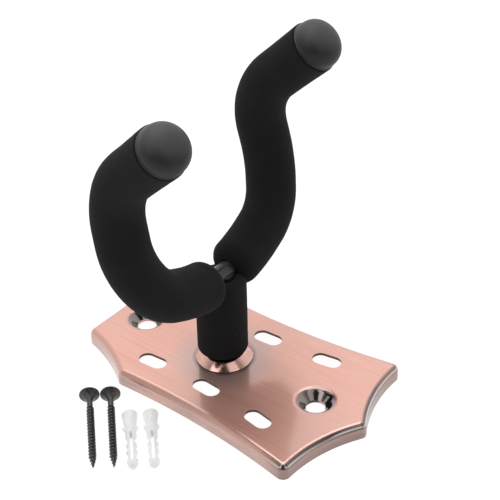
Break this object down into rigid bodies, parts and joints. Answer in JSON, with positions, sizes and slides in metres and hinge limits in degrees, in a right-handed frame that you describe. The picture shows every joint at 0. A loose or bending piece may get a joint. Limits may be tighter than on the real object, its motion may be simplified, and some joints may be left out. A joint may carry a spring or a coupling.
{
  "type": "wall guitar hanger",
  "caption": "Wall hanger for a guitar: a foam-covered swivelling yoke with domed ends on a hollow copper-coloured wall plate, with its screws and plugs.",
  "frame": {"origin": "on the stem's axis, in the plane of the plate's rim, which is the face that meets the wall", "axes": "+Z away from the wall along the stem, +X up the wall towards the plate's wide end, Y across the plate"},
  "size_m": [0.1285, 0.1364, 0.1417],
  "materials": {
    "copper_finish": "brushed antique copper plating on pressed steel, edges rubbed dark",
    "zinc_steel": "zinc plated",
    "nylon": "natural nylon",
    "black_steel": "black gloss",
    "foam": "closed-cell foam sleeve, matte",
    "cap_rubber": "satin moulded rubber",
    "screw_steel": "black phosphate",
    "plug_plastic": "translucent white"
  },
  "bodies": {
    "wall_plate": {"base_plate": "copper_finish", "stem_collar": "copper_finish", "backing_washer": "zinc_steel", "friction_washer": "nylon", "wall_screws": "screw_steel", "wall_plugs": "plug_plastic"},
    "yoke": {"stem_rod": "black_steel", "pivot_bolt": "zinc_steel", "retaining_washer": "zinc_steel", "yoke_rod": "black_steel", "hub_weld": "black_steel", "foam_stem": "foam", "foam_left": "foam", "foam_right": "foam", "cap_left": "cap_rubber", "cap_right": "cap_rubber"}
  },
  "joints": [
    {"name": "yoke_swivel", "type": "hinge", "parent": "wall_plate", "child": "yoke", "pos_m": [0, 0, 0], "axis": [0, 0, 1], "continuous": true}
  ]
}
